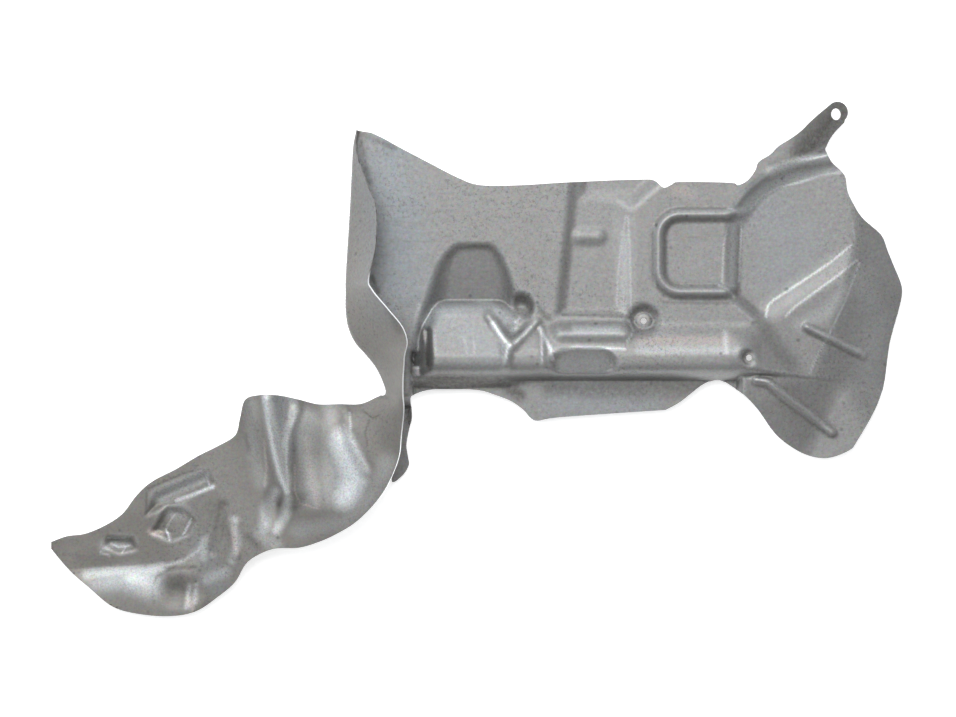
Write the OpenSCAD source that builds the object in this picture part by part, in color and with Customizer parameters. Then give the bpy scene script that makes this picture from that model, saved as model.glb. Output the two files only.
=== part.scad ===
// Heat shield for a steering gear, pressed and folded from one aluminium sheet.
// The flat panel lies in XY and its pressed side faces +Z. The origin is the centre of the
// fixing hole in the ear. The sheet is laid out flat as a blank (p across, q along), the
// blank is cut into facets, and each corner of a facet is carried to its place in space.

/* [Sheet] */
// Thickness of the sheet
sheet_t = 0.8; // [0.5:0.1:1.2]
// Radius of the long bend between panel and side wall, at mid-thickness
bend_r = 2.5; // [1.5:0.25:4]
// Height of the side wall above the panel, at its highest
wall_h = 39; // [25:1:50]

/* [Holes] */
// Diameter of the fixing hole in the ear
ear_hole_d = 7; // [5:0.5:8]
// Diameter of the two pierced dimples
rivet_hole_d = 3.5; // [2.5:0.25:4.5]
// Depth of the round seat about the upper dimple
seat_depth = 3; // [1:0.5:4]

// Radius of the flat ring about each pierced dimple
seat_r = 3.6; // [3:0.1:4.5]
// Level of the upper ring below the panel
upper_seat = 1.6; // [1:0.1:2.5]
// Level of the lower ring above the panel
lower_seat = 4.6; // [3.5:0.1:5.5]

/* [Ear] */
// Fall of the ear towards its tip, for each mm of run
ear_fall = 0.53; // [0.3:0.01:0.7]
// Distance from the fixing hole back to the bend of the ear
ear_run = 24; // [18:1:30]

/* [Tube for the rack] */
// Rise of the half tube's crest above the panel
tube_rise = 7; // [4:0.5:12]
// Drop from the crest to the lower flange
tube_drop = 18.5; // [14:0.5:22]
// Width of the half tube below its crest
tube_w = 14.4; // [10:0.2:18]
// Distance of the tube's crest below the fixing hole
tube_y = 145.5; // [142:0.5:149]

// Fall of the bulge at the tube's end towards the recess, for each mm
bulge_fall = 0.27; // [0.2:0.01:0.34]

/* [Pressed forms] */
// Depth of the recess above the tube at its top
recess_depth = 2.5; // [1:0.5:5]
// Fall of the recess floor, for each mm
recess_fall = 0.2; // [0.1:0.01:0.3]
// Depth of the long rectangle
rectangle_depth = 2.8; // [1:0.2:4]
// Depth of the pad at the end of the rectangle
pad_depth = 4.3; // [2:0.1:6]
// Depth of the large pan beside the ear
pan_depth = 5.5; // [3:0.5:8]
// Depth of the three-cornered facet
facet_depth = 3.5; // [2:0.25:5]
// Fall of the outer lobe, for each mm
lobe_fall = 0.36; // [0.2:0.02:0.45]

// Height of the ridge across the lobe
lobe_ridge_h = 5; // [2:0.5:9]
// Depth of the dish beside that ridge
dish_depth = 4; // [2:0.5:9]

/* [Ribs] */
// Height of the U-shaped rib
u_rib_h = 3.2; // [1:0.2:5]
// Half width of the U-shaped rib
u_rib_w = 4.9; // [3.5:0.1:6]
// Height of the two stiffening beads on the lobe
bead_h = 2.6; // [1:0.2:4]
// Half width of the two stiffening beads
bead_w = 3.6; // [2.5:0.1:5]
// Height of the half-round swelling on the tube
swelling_h = 3.4; // [1:0.2:6]

/* [Facets] */
// Facet size on the creases
fine = 4.1; // [3:0.1:6]
// Facet size on the flats
coarse = 20; // [8:1:24]

/* [Hidden] */

// Blends and distances

function smin(a, b, r) = let (h = max(r - abs(a - b), 0)/r) min(a, b) - h*h*r/4;
function smax(a, b, r) = -smin(-a, -b, r);
function mix(a, b, t) = a + (b - a)*t;
function ease(t) = let (s = min(max(t, 0), 1)) s*s*(3 - 2*s);
// Distance of a point to the left of the line from a to b
function left(v, a, b) = let (d = b - a) ((v.y - a.y)*d.x - (v.x - a.x)*d.y)/norm(d);
// Distance from a stretch a to b
function off(v, a, b) =
    let (d = b - a, t = min(max((v - a)*d/(d*d), 0), 1)) norm(v - a - d*t);
function off_path(v, pts) = min([for (i = [1:len(pts) - 1]) off(v, pts[i - 1], pts[i])]);
function rib(v, pts, w, h) = let (d = off_path(v, pts)) d < w ? h*ease(1 - d/w) : 0;
function oval(v, c, r) = norm([(v.x - c.x)/r.x, (v.y - c.y)/r.y]);
function hump(v, c, r, h) = let (d = oval(v, c, r)) d < 1 ? h*ease(1 - d) : 0;
function arc(c, r, from, to, n) =
    [for (i = [0:n]) let (a = mix(from, to, i/n)) c + r*[cos(a), sin(a)]];
// Hollow with a floor and sloping walls; each wall is [a, b, slope] with the hollow on its left
function hollow(v, floor, walls, r, i = 0) =
    i == len(walls) ? floor
    : hollow(v, smax(floor, -walls[i][2]*left(v, walls[i][0], walls[i][1]), r), walls, r, i + 1);
// Smooth curve through points of any length, n steps between each pair
function curve(pts, n) = [
    for (i = [0:len(pts) - 2])
        let (a = pts[max(i - 1, 0)], b = pts[i], c = pts[i + 1], d = pts[min(i + 2, len(pts) - 1)])
        for (k = [0:n - 1])
            let (t = k/n)
            ((2*b) + (c - a)*t + (2*a - 5*b + 4*c - d)*t*t + (3*b - a - 3*c + d)*t*t*t)/2,
    pts[len(pts) - 1]];

// Panel: height above its flat, at v in XY

U_CORNER = 13;
U_RIB = concat([[-54.5, -60.5]], arc([-94, -73.5], U_CORNER, 90, 180, 4),
    arc([-94, -94], U_CORNER, 180, 270, 4), [[-62, -107]]);
LONG_BEAD = [[-48.5, -160], [-41.5, -161], [-31, -170], [-2.5, -191.5]];
SHORT_BEAD = [[-18, -128], [15, -144.5]];
SWELLING = [[-165.5, -131], [-128, -131]];
RIDGE_A = [[-209, -121.5], [-197.5, -138], [-199, -151.5]];
RIDGE_B = [[-180.5, -125], [-194.5, -139]];
RIDGE_C = [[-177.5, -129], [-176.5, -151.5]];
GROOVE = [[-245.5, -131], [-245.5, -151.5]];
SEAT = [-116, -124.5];
LOWER_SEAT = [-53, -146.5];
BOSS = [-57, -141.5];

BULGE_BASE = 9;
BULGE_WALLS = [[[-254.5, -126], [-254.5, -200], 1.5], [[-243, -112], [-254.5, -126], 1.2],
    [[-180, -112], [-243, -112], 1.5]];
RECESS_WALLS = [[[-204, -78], [-229, -78], 1.4], [[-227, -76], [-241, -90], 1.2],
    [[-238.5, -88], [-254, -133], 1], [[-256, -133], [-256, -200], 1],
    [[-188.5, -118], [-198, -89], 0.9], [[-196.5, -91], [-207, -77], 1.2]];
RECTANGLE_WALLS = [[[-161, -43], [-168.5, -115], 0.55], [[-168.5, -122.5], [-122.5, -122.5], 0.6],
    [[-122.5, -122.5], [-122.5, -43], 0.3]];
PAD_WALLS = [[[-158.5, -43], [-160, -59], 0.6], [[-160, -59], [-125, -59.5], 0.35],
    [[-125, -59.5], [-107.5, -44.5], 0.55]];
EAR_LINE = [[-5.5, -23.5], [-33, -31], [-52, -42.5], [-64, -59]];
PAN_WALLS = concat([for (i = [1:3]) [EAR_LINE[i - 1], EAR_LINE[i], 0.55]],
    [[[-66.5, -65], [-66.5, -112], 0.7], [[-64, -112], [-45, -128], 0.85]]);
CREASE = [[-41.5, -127.5], [-23, -158.5]];
STEP = [[-34, -121], [14, -89.5]];
STEP_MIDDLE = [[-40, -119], [14, -83.5]];
LOBE_LINE = [[14, -90], [-17, -155.5]];
LOBE_END_Y = -163;
LOBE_END_FALL = 0.22;
PAN_END_X = 11;
FLANGE_Y = -160.5;
TONGUE_Y = -168;

function valley(v) = -facet_depth - 0.42*left(v, CREASE[0], CREASE[1]);
// Facet and lobe below the step of the pan
function lower_right(v) =
    let (flat = -facet_depth + 0.05*min(left(v, STEP[0], STEP[1]), 3),
        inner = smin(0, smax(valley(v), flat, 1.5), 1.5),
        lobe = -facet_depth - 0.8 - lobe_fall*left(v, LOBE_LINE[0], LOBE_LINE[1]))
    smin(smin(inner, lobe, 1), LOBE_END_FALL*(v.y - LOBE_END_Y), 4);
function pan(v) =
    smax(hollow(v, -pan_depth, PAN_WALLS, 1.2), -facet_depth - 0.2*left(v, STEP[0], STEP[1]), 1.2);
function hollows(v) =
    let (recess = hollow(v, -recess_depth - recess_fall*max(-82 - v.y, 0), RECESS_WALLS, 4),
        pocket = -6.5 + 8*pow(oval(v, [-190, -116], [9.6, 9.6]), 2),
        rectangle = hollow(v, -rectangle_depth, RECTANGLE_WALLS, 1.2),
        pad = hollow(v, -pad_depth, PAD_WALLS, 1))
    smin(smin(smin(smin(0, recess, 2), pocket, 2), rectangle, 1), pad, 1);
// Half tube, with a broader bulge at its left end
function tube(v) =
    let (d = v.y + tube_y, k = min(max(-d/tube_w, 0), 1), south = tube_rise - tube_drop*pow(k, 4),
        north = tube_rise - 0.087*pow(max(d, 0), 1.5), crown = d > 0 ? tube_rise - bulge_fall*d : south,
        bulge = -hollow(v, -crown - BULGE_BASE, BULGE_WALLS, 5) - BULGE_BASE)
    mix(bulge, d > 0 ? north : south, ease((v.x + 205)/14));
function flange(v) =
    let (level = tube_rise - tube_drop, edge = level + 0.13*(v.y - FLANGE_Y),
        skirt = max(-2.2 + 1.7*min(v.y + 158.5, 0), level - 5))
    mix(skirt, edge, ease((v.x + 208)/24));
// Panel with its hollows, ribs and half tube
function press(v) =
    let (upper = hollows(v),
        rest = v.x < -80 ? upper
            : mix(smin(upper, lower_right(v), 1), upper,
                ease(left(v, STEP_MIDDLE[0], STEP_MIDDLE[1])/3 + 0.5)),
        sunk = v.x < -80 ? rest : smin(rest, pan(v), 1),
        ribbed = sunk + rib(v, U_RIB, u_rib_w, u_rib_h)*ease((sunk + pan_depth)/pan_depth)
            + rib(v, [[-154, -73.5], [-143.5, -73.5]], 7, 1.6),
        below = ease((-142 - v.y)/5)*ease((-56 - v.x)/8)
            *max(ease((v.x + 256)/3), ease((TONGUE_Y - v.y)/16)),
        tubed = v.x < -256 ? mix(ribbed, -30, below)
            : smax(mix(ribbed, -30, below), smin(tube(v), valley(v) + 1, 3), 1.6),
        flanged = v.y > -151.5 || v.x > -65.5 ? tubed : smax(tubed, flange(v), 0.8),
        swollen = flanged + rib(v, SWELLING, 8, swelling_h),
        flat = v.y > -139.5 ? swollen
            : mix(swollen, smin(swollen, 5.4 + 0.3*(v.y + 142), 0.5),
                ease((1.15 - oval(v, [-152, -149.5], [18.6, 10.2]))/0.25)),
        creased = flat + rib(v, RIDGE_A, 4.6, 1.8) + rib(v, RIDGE_B, 4.2, 1.8)
            + rib(v, RIDGE_C, 2.6, 1.2) - rib(v, GROOVE, 3.2, 2.4) - hump(v, [-193.5, -130], [8, 6], 2.4)
            + rib(v, SHORT_BEAD, bead_w, bead_h) + rib(v, LONG_BEAD, bead_w, bead_h),
        ended = v.x < -28 || v.y > -22 ? creased
            : smin(creased, -pan_depth - 0.4*(v.x - PAN_END_X), 1.5),
        bossed = ended - seat_depth*ease(1.5 - 1.1*oval(v, SEAT, [9, 9])) + hump(v, BOSS, [12, 13], 2.2),
        seated = mix(bossed, -upper_seat, near_seat(v, SEAT)))
    mix(seated, lower_seat, near_seat(v, LOWER_SEAT)) - ear(v);
// Flat ring about a pierced dimple
function near_seat(v, c) = ease((seat_r + 2 - norm(v - c))/2);
function ear(v) =
    let (out = -min([for (i = [1:3]) left(v, EAR_LINE[i - 1], EAR_LINE[i])]))
    v.x < -40 ? 0 : ear_fall*smax(0, v.x + ear_run, 6)*ease((2 + out)/6);

// Side: the wall that rises from the bend, and the lobe that it runs out into.
// Each section is [place along the blank, point on the inner edge, point on the free edge],
// with heights in parts of the wall above the bend.

SECTIONS = [
    [[-10], [-288, -10, 0], [-288, -10, 0.02]],
    [[-20], [-290, -20, 0], [-288, -24, 0.13]],
    [[-38], [-291, -38, 0], [-281.5, -43, 0.38]],
    [[-58], [-292, -58, 0], [-276.2, -57, 0.56]],
    [[-82], [-293.5, -82, 0], [-276.2, -80, 0.72]],
    [[-100], [-294.5, -100, 0], [-280.5, -99, 0.82]],
    [[-107], [-294.5, -107, 0], [-278.5, -106, 0.85]],
    [[-118], [-294.5, -118, 0], [-269, -117.5, 0.92]],
    [[-128], [-293, -128, 0], [-260.5, -128, 0.97]],
    [[-137], [-289, -137, 0], [-257.5, -137, 1]],
    [[-145], [-282, -145, 0], [-259, -145, 1]],
    [[-152], [-276.5, -152, 0], [-259.5, -152, 0.97]],
    [[-160], [-272.5, -160, 0], [-260, -160, 0.95]],
    [[-168], [-270.5, -168, 0.04], [-260, -169, 0.92]],
    [[-178], [-276, -170.5, 0.15], [-259.5, -178, 0.89]],
    [[-192], [-286, -174.5, 0.12], [-261, -193, 0.81]],
    [[-206], [-299, -174.5, 0.12], [-262.5, -206, 0.7]],
    [[-220], [-311.5, -174.5, 0.15], [-268.5, -221, 0.59]],
    [[-234], [-323.5, -171.5, 0.23], [-276.5, -233, 0.45]],
    [[-248], [-335.5, -169, 0.31], [-288, -244.5, 0.31]],
    [[-260], [-347.5, -169, 0.31], [-300, -252, 0.18]],
    [[-272], [-355, -172, 0.15], [-311, -257, 0.07]],
    [[-284], [-358, -183, 0.01], [-323, -260.5, -0.01]],
    [[-296], [-361, -193, -0.07], [-339, -261.5, -0.07]],
    [[-308], [-371.5, -199.5, -0.15], [-353.5, -269, -0.15]],
    [[-320], [-383.5, -205.5, -0.2], [-361.5, -281.5, -0.23]],
    [[-334], [-397, -213.5, -0.29], [-372, -290.5, -0.34]],
    [[-348], [-411.5, -221, -0.34], [-385, -299, -0.42]],
    [[-360], [-421, -229.5, -0.4], [-400, -302, -0.51]],
    [[-372], [-429.5, -240.5, -0.42], [-418, -301, -0.53]],
    [[-384], [-440, -247.5, -0.45], [-435, -296.5, -0.53]],
    [[-396], [-452, -252.5, -0.48], [-450, -284.5, -0.52]],
    [[-404], [-463, -254, -0.49], [-462, -274, -0.51]],
    [[-410], [-472.5, -257.5, -0.49], [-472.5, -261.5, -0.51]]];
function lifted(v) = [v.x, v.y, bend_r + v.z*(wall_h - bend_r)];
SIDE = curve([for (s = SECTIONS) [s[0], lifted(s[1]), lifted(s[2])]], 3);
// Place along the blank against each coordinate of both edges
function edge_table(e, k) = [for (i = [len(SIDE) - 1:-1:0]) [SIDE[i][0][0], SIDE[i][e][k]]];
INNER = [for (k = [0:2]) edge_table(1, k)];
FREE = [for (k = [0:2]) edge_table(2, k)];
WIDTH = [for (i = [len(SIDE) - 1:-1:0]) [SIDE[i][0][0], norm(SIDE[i][2] - SIDE[i][1])]];
function on_edge(table, q) = [for (k = [0:2]) lookup(q, table[k])];
function fold_x(q) = lookup(max(q, -168), INNER[0]);

LOBE_RIDGE = [[-341, -171], [-337.5, -190], [-333, -209], [-328, -227]];
DISH_EDGE = [[-323.5, -176], [-327.5, -190], [-329, -208], [-328, -226]];
TIP_ROLL = [[-380, -254], [-393, -267.5], [-412, -271.5], [-454, -274]];
LOBE_PAD = [[-378, -214], [-411, -228], [-416, -242], [-396.5, -235.5], [-373, -222]];
LOBE_HEX = [[-403, -234], [-413, -252], [-400, -257], [-389, -253], [-384.5, -245], [-390, -238]];
HEX_FOLD = [[-398, -233], [-403, -258]];
DIMPLE = [[-422, -255], [-439, -253.5], [-441, -260], [-432, -264.5], [-420, -262]];
function closed_walls(pts, slope) =
    [for (i = [0:len(pts) - 1]) [pts[i], pts[(i + 1)%len(pts)], slope]];
// Forms of the lobe, over the plain surface between its two edges
function lobe_form(v) =
    let (pad = smin(0, hollow(v, -2.6, closed_walls(LOBE_PAD, 0.7), 0.8), 0.8),
        hex_floor = -3.4 + 0.16*abs(left(v, HEX_FOLD[0], HEX_FOLD[1])),
        both = smin(pad, hollow(v, hex_floor, closed_walls(LOBE_HEX, 0.9), 1), 0.8),
        sunk = smin(both, hollow(v, -2.6, closed_walls(DIMPLE, 0.9), 1), 0.8),
        below = max([for (i = [1:3]) left(v, TIP_ROLL[i - 1], TIP_ROLL[i])]),
        roll = 4.5*(1 - exp(-max(below, 0)/9))*ease((-v.x - 372)/20))
    sunk + roll + rib(v, LOBE_RIDGE, 12, lobe_ridge_h) + rib(v, DISH_EDGE, 5, 1)
    - hump(v, [-305, -208], [27, 34], dish_depth)
    + rib(v, [[-295, -179], [-292, -196], [-282.5, -215]], 5, 0.8)
    - hump(v, [-337, -236], [9, 17], 3) - hump(v, [-394, -287], [17, 13], 3)
    + rib(v, [[-361, -246], [-361, -264]], 5, 1.2) - rib(v, [[-368, -236], [-374, -262]], 5, 1);

// Sheet: the point in space for the place p, q on the blank

quarter = bend_r*PI/2;
hole_drop = ear_fall*ear_run;
SLIT_Q = -172;
function panel_point(p, q) =
    let (a = min(p/bend_r, PI/2)*180/PI, x = fold_x(q) + bend_r*(1 - cos(a)) + max(p - quarter, 0))
    [x, q, bend_r*(1 - sin(a)) + press([x, q])];
function side_point(r, q) =
    let (v = mix(on_edge(INNER, q), on_edge(FREE, q), r/max(lookup(q, WIDTH), 0.1)))
    q > -166 ? v : v + [0, 0, lobe_form(v)*ease((-166 - q)/20)];
// Past the slit the side has its own edge, a little beyond the bend's
function side_edge(q) = q < SLIT_Q ? 2 : 0;
function place(p, q) = (p < side_edge(q) ? side_point(-p, q) : panel_point(p, q)) + [0, 0, hole_drop];

// Outline of the blank

function blank(v) = [v.x - fold_x(v.y) - bend_r + quarter, v.y];
TOP_EDGE = [[-279.5, -11.5], [-271, -15.5], [-264, -19.5], [-246, -29], [-227.5, -38.5], [-214, -43],
    [-190, -43], [-166, -41.5], [-136, -40], [-115, -39.5], [-109, -40.5], [-104, -44.5],
    [-99, -42.5], [-94, -41], [-64, -41.5], [-59.5, -43], [-53.5, -40], [-49, -34], [-47, -29],
    [-40, -24.5], [-35, -19.5], [-27, -14.5], [-21, -10], [-16, -5], [-11, -0.5]];
EAR_TIP = [1, 1.3];
EAR_TIP_R = 6.3;
RIGHT_EDGE = [[5, -5], [0, -10], [-3.5, -14.5], [-6, -19.5], [-6.5, -22.5], [-3, -29], [2.5, -34],
    [5.5, -38.5], [6.5, -46], [9.5, -53], [15.5, -62.5], [27, -72.5], [31, -82], [35, -91.5],
    [39, -101], [40, -107], [38.5, -115.5], [33, -136], [31, -149], [29, -163.5], [23.5, -178],
    [12.5, -197], [8.5, -202], [-2.5, -206.5], [-12.5, -206.5], [-24, -202], [-36.5, -192.5],
    [-47, -178], [-56, -168.5], [-63, -163.5], [-69, -160], [-74, -160], [-81.5, -163.5],
    [-93.5, -173], [-102.5, -178]];
BOTTOM_EDGE = [[-125.5, -179.5], [-167.5, -182.5], [-179.5, -184.5], [-184, -182.5], [-188, -178],
    [-195, -173], [-203.5, -169.5], [-215.5, -166], [-233.5, -165.5], [-245.5, -166], [-254.5, -169],
    [-256, -171.5], [-255.5, -182.5], [-257.5, -192.5], [-258.5, -199.5], [-257.5, -206.5],
    [-257, -211], [-260, -216.5], [-265, -221], [-267.5, -221.5]];
SLIT = [[6, SLIT_Q - 4], [3, SLIT_Q], [0, SLIT_Q - 4]];
OUTLINE = concat([[0, -10]],
    [for (v = curve(TOP_EDGE, 2)) blank(v)],
    [for (v = arc(EAR_TIP, EAR_TIP_R, 135, -45, 10)) blank(v)],
    [for (v = curve(RIGHT_EDGE, 2)) blank(v)],
    [for (v = curve(BOTTOM_EDGE, 2)) blank(v)],
    SLIT, [[0, -410]],
    [for (i = [len(SIDE) - 1:-1:1]) [-norm(SIDE[i][2] - SIDE[i][1]), SIDE[i][0][0]]]);
STRETCHES = [for (i = [0:len(OUTLINE) - 1]) [OUTLINE[i], OUTLINE[(i + 1)%len(OUTLINE)]]];
function far_side(v, pair) = abs(left(v, pair[0], pair[1]));
// Of two stretches that meet at the nearest point, the one seen more squarely tells the side
function squarest(v, ties, i = 0, best = 0) =
    i == len(ties) ? ties[best]
    : squarest(v, ties, i + 1, far_side(v, ties[i]) > far_side(v, ties[best]) + 1e-9 ? i : best);
function pull(v, a, b) = let (e = b - a) a + e*min(max((v - a)*e/(e*e), 0), 1);
// Nearest place on the outline: [distance inside, negative outside; place; stretches near by]
function reach(v, stretches, span) =
    let (d = [for (s = stretches) off(v, s[0], s[1])], low = min(d),
        ties = [for (i = [0:len(d) - 1]) if (d[i] < low + 1e-6) stretches[i]],
        s = squarest(v, ties))
    [left(v, s[0], s[1]) < 0 ? low : -low, pull(v, s[0], s[1]),
        [for (i = [0:len(d) - 1]) if (d[i] <= low + span) stretches[i]]];

// Facets: a long side is halved while it is longer than the size wanted at its middle.
// That size grows by at most 0.7 mm for each mm, so neighbours always meet corner to corner.

function as_blank(pts) = [for (v = pts) blank(v)];
// Places on the lobe, each [place along the blank, part of the way to the free edge]
function on_lobe(pts) = [for (v = pts) [-v.y*lookup(v.x, WIDTH), v.x]];
CREASES = [
    [as_blank(U_RIB), 1], [as_blank([U_RIB[0], U_RIB[1]]), 1],
    [as_blank(LONG_BEAD), 1], [as_blank(SHORT_BEAD), 1], [as_blank(SWELLING), 1.3],
    [as_blank(RIDGE_A), 1.1], [as_blank(RIDGE_B), 1.1], [as_blank(RIDGE_C), 1.1], [as_blank(GROOVE), 1.1],
    [as_blank([SEAT, SEAT + [0.1, 0]]), 0.8], [as_blank([LOWER_SEAT, LOWER_SEAT + [0.1, 0]]), 0.7],
    [as_blank([[0, 0], [2, 2]]), 0.6], [as_blank([[-254, -159.5], [-66, -159.5]]), 1.1],
    [as_blank([[-231, -79], [-234, -80], [-250, -118], [-188, -117], [-202, -79]]), 1.8],
    [as_blank([[-160, -62], [-167, -122], [-125, -122], [-123, -44]]), 2],
    [as_blank([[-157, -45], [-158, -61], [-126, -61], [-110, -46]]), 2],
    [as_blank([EAR_LINE[0], EAR_LINE[1], EAR_LINE[2], EAR_LINE[3], [-66, -112], [-46, -126]]), 1.8],
    [as_blank([[-38, -122], [11, -89], [14, -60]]), 2], [as_blank([CREASE[0], CREASE[1], LOBE_LINE[0]]), 2],
    [on_lobe([[-258, 0], [-271, 0.22], [-273, 0.5], [-278, 0.6]]), 1.9],
    [on_lobe([[-314, 0.2], [-330, 0.26], [-346, 0.26], [-352, 0.32]]), 1.5],
    [on_lobe([[-334, 0.42], [-352, 0.5], [-372, 0.4]]), 1.9]];
function size_at(v, d) =
    min([coarse, fine*1.3 + 0.7*abs(d), for (c = CREASES) fine*c[1] + 0.7*max(off_path(v, c[0]) - 2, 0)]);
step_e = 0.5;
function both_faces(v) =
    let (m = place(v.x, v.y),
        e = v.x > side_edge(v.y) ? step_e : -step_e,
        n = cross(place(v.x + e, v.y) - m, place(v.x, v.y + step_e) - m)*e,
        h = n*(sheet_t/2/norm(n)))
    [m + h, m - h];
// Corner of facets: [place on the grid, distance inside, place on the blank, both faces]
function corner(v, near, size) =
    abs(near[0]) < 0.28*size ? [v, 0, near[1], both_faces(near[1])]
    : [v, near[0], v, near[0] > 0 ? both_faces(v) : []];
function cut(a, b, stretches) =
    a[2].x < b[2].x || (a[2].x == b[2].x && a[2].y < b[2].y)
    ? let (v = reach(mix(a[2], b[2], a[1]/(a[1] - b[1])), stretches, 0)[1]) [v, 0, v, both_faces(v)]
    : cut(b, a, stretches);
function real(t) = t[0][2] != t[1][2] && t[1][2] != t[2][2] && t[2][2] != t[0][2];
function trim(t, stretches) =
    let (d = [t[0][1], t[1][1], t[2][1]])
    max(d) < 0 ? []
    : min(d) >= 0 ? (max(d) > 0 || reach((t[0][2] + t[1][2] + t[2][2])/3, stretches, 0)[0] > 0.01 ? [t] : [])
    : max(d) == 0 ? []
    : let (loop = [for (i = [0:2]) let (a = t[i], b = t[(i + 1)%3]) each concat(
            a[1] >= 0 ? [a] : [], a[1]*b[1] < 0 ? [cut(a, b, stretches)] : [])])
        [for (i = [1:len(loop) - 2]) [loop[0], loop[i], loop[i + 1]]];
function halve(a, b, c, stretches) =
    let (v = (a[0] + b[0])/2, long = norm(a[0] - b[0]), near = reach(v, stretches, long),
        size = size_at(v, near[0]))
    near[0] < -long ? []
    : long <= size ? [for (t = trim([a, b, c], near[2])) if (real(t)) t]
    : let (m = corner(v, near, size)) concat(halve(c, a, m, near[2]), halve(b, c, m, near[2]));
LOW = [for (k = [0, 1]) min([for (v = OUTLINE) v[k]])];
HIGH = [for (k = [0, 1]) max([for (v = OUTLINE) v[k]])];
// The grid goes all round the outline, and the bend, p = 0, lies on one of its lines
GRID_SIDE = 32*ceil((max(HIGH - LOW) + 3.5*coarse)/32);
GRID_LOW = [-GRID_SIDE*9/32, LOW.y - 2.3*coarse];
GRID = [for (k = [[0, 0], [1, 0], [1, 1], [0, 1]]) let (v = GRID_LOW + GRID_SIDE*k) [v, -100, v, []]];
FACETS = concat(halve(GRID[0], GRID[2], GRID[3], STRETCHES), halve(GRID[2], GRID[0], GRID[1], STRETCHES));

// Edges of facets that lie on the outline and belong to one facet only
EDGES = [for (t = FACETS) for (i = [0:2])
    let (a = t[i], b = t[(i + 1)%3]) if (a[1] == 0 && b[1] == 0) [a, b]];
EDGE_KEYS = [for (e = EDGES) [e[0][2], e[1][2]]];
RIM = [for (e = EDGES) if (len([for (k = EDGE_KEYS) if (k[0] == e[1][2] && k[1] == e[0][2]) 1]) == 0) e];

module sheet() {
    n = len(FACETS);
    turn = [0, 2, 1];
    upper = [for (t = FACETS) for (i = turn) t[i][3][0]];
    lower = [for (t = FACETS) for (i = [0:2]) t[i][3][1]];
    rim = [for (e = RIM) each [e[0][3][0], e[1][3][0], e[1][3][1], e[0][3][1]]];
    polyhedron(concat(upper, lower, rim), concat(
        [for (i = [0:2*n - 1]) [3*i, 3*i + 1, 3*i + 2]],
        [for (i = [0:len(RIM) - 1]) let (k = 6*n + 4*i) each [[k, k + 1, k + 2], [k, k + 2, k + 3]]]),
        convexity = 12);
}

module heat_shield() {
    color("#9a9c9b")
    difference() {
        sheet();
        rotate([0, atan(ear_fall), 0]) cylinder(h = 12, d = ear_hole_d, center = true, $fn = 64);
        for (c = [SEAT, LOWER_SEAT])
            translate([c.x, c.y, hole_drop + press(c)])
                cylinder(h = 12, d = rivet_hole_d, center = true, $fn = 48);
    }
}

heat_shield();
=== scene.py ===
"""The look of a pressed heat shield for a steering gear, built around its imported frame.

The sheet is laid out flat as a blank (p across, q along). A fine net of triangles covers the
blank, and each of its points is carried to its place in space by the forms of the part, with
the small tool marks, waves and dents that the CAD model leaves out. Lengths are in millimetres
until the meshes are made.
"""
import math

import bpy
import numpy as np
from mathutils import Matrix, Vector
from mathutils.geometry import delaunay_2d_cdt
from mathutils.kdtree import KDTree

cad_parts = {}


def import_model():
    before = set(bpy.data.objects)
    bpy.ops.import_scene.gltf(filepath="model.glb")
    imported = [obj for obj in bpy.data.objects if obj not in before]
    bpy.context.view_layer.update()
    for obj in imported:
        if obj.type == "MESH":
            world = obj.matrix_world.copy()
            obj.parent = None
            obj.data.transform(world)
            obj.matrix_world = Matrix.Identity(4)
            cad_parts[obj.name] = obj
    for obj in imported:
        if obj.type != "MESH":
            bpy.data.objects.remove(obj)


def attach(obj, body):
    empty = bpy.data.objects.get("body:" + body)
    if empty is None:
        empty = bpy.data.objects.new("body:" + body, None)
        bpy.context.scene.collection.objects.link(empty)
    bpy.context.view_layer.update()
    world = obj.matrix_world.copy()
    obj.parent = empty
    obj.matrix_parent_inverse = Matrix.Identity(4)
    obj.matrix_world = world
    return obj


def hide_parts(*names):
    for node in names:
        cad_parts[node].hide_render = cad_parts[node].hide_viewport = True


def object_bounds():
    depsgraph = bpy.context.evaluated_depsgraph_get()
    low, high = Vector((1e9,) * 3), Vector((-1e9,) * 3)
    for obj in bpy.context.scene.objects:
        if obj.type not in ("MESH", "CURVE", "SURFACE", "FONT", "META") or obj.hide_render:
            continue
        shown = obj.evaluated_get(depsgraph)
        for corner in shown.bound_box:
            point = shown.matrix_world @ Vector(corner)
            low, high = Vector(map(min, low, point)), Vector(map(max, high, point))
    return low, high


MM = 0.001

# Sizes of the part, as in its source
SHEET_T = 0.8
BEND_R = 2.5
WALL_H = 39.0
EAR_HOLE_D = 7.0
RIVET_HOLE_D = 3.5
SEAT_DEPTH = 3.0
EAR_FALL = 0.53
EAR_RUN = 24.0
TUBE_RISE = 7.0
TUBE_DROP = 18.5
TUBE_W = 14.4
TUBE_Y = 145.5
RECESS_DEPTH = 2.5
RECESS_FALL = 0.2
RECTANGLE_DEPTH = 2.8
PAD_DEPTH = 4.3
PAN_DEPTH = 5.5
FACET_DEPTH = 3.5
LOBE_FALL = 0.36
U_RIB_H, U_RIB_W = 3.2, 4.9
BEAD_H, BEAD_W = 2.6, 3.6
SWELLING_H = 3.4
LOBE_RIDGE_H, DISH_DEPTH = 5, 4

# The net over the blank
CELL = 1.15
RIM_STEP = 1.2
RIM_CLEARANCE = 0.6 * CELL

# Where the side wall's free edge gets a painted glint, along the blank
GLINT_FROM_Q, GLINT_TO_Q = -94, -262
GLINT_FADE_IN, GLINT_FADE_OUT = 8, 20

# The photograph's frame: the ear hole's pixel and the millimetres in a pixel
PHOTO_HOLE = (837, 113.5)
PHOTO_SCALE = 0.6


# Blends and distances

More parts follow.
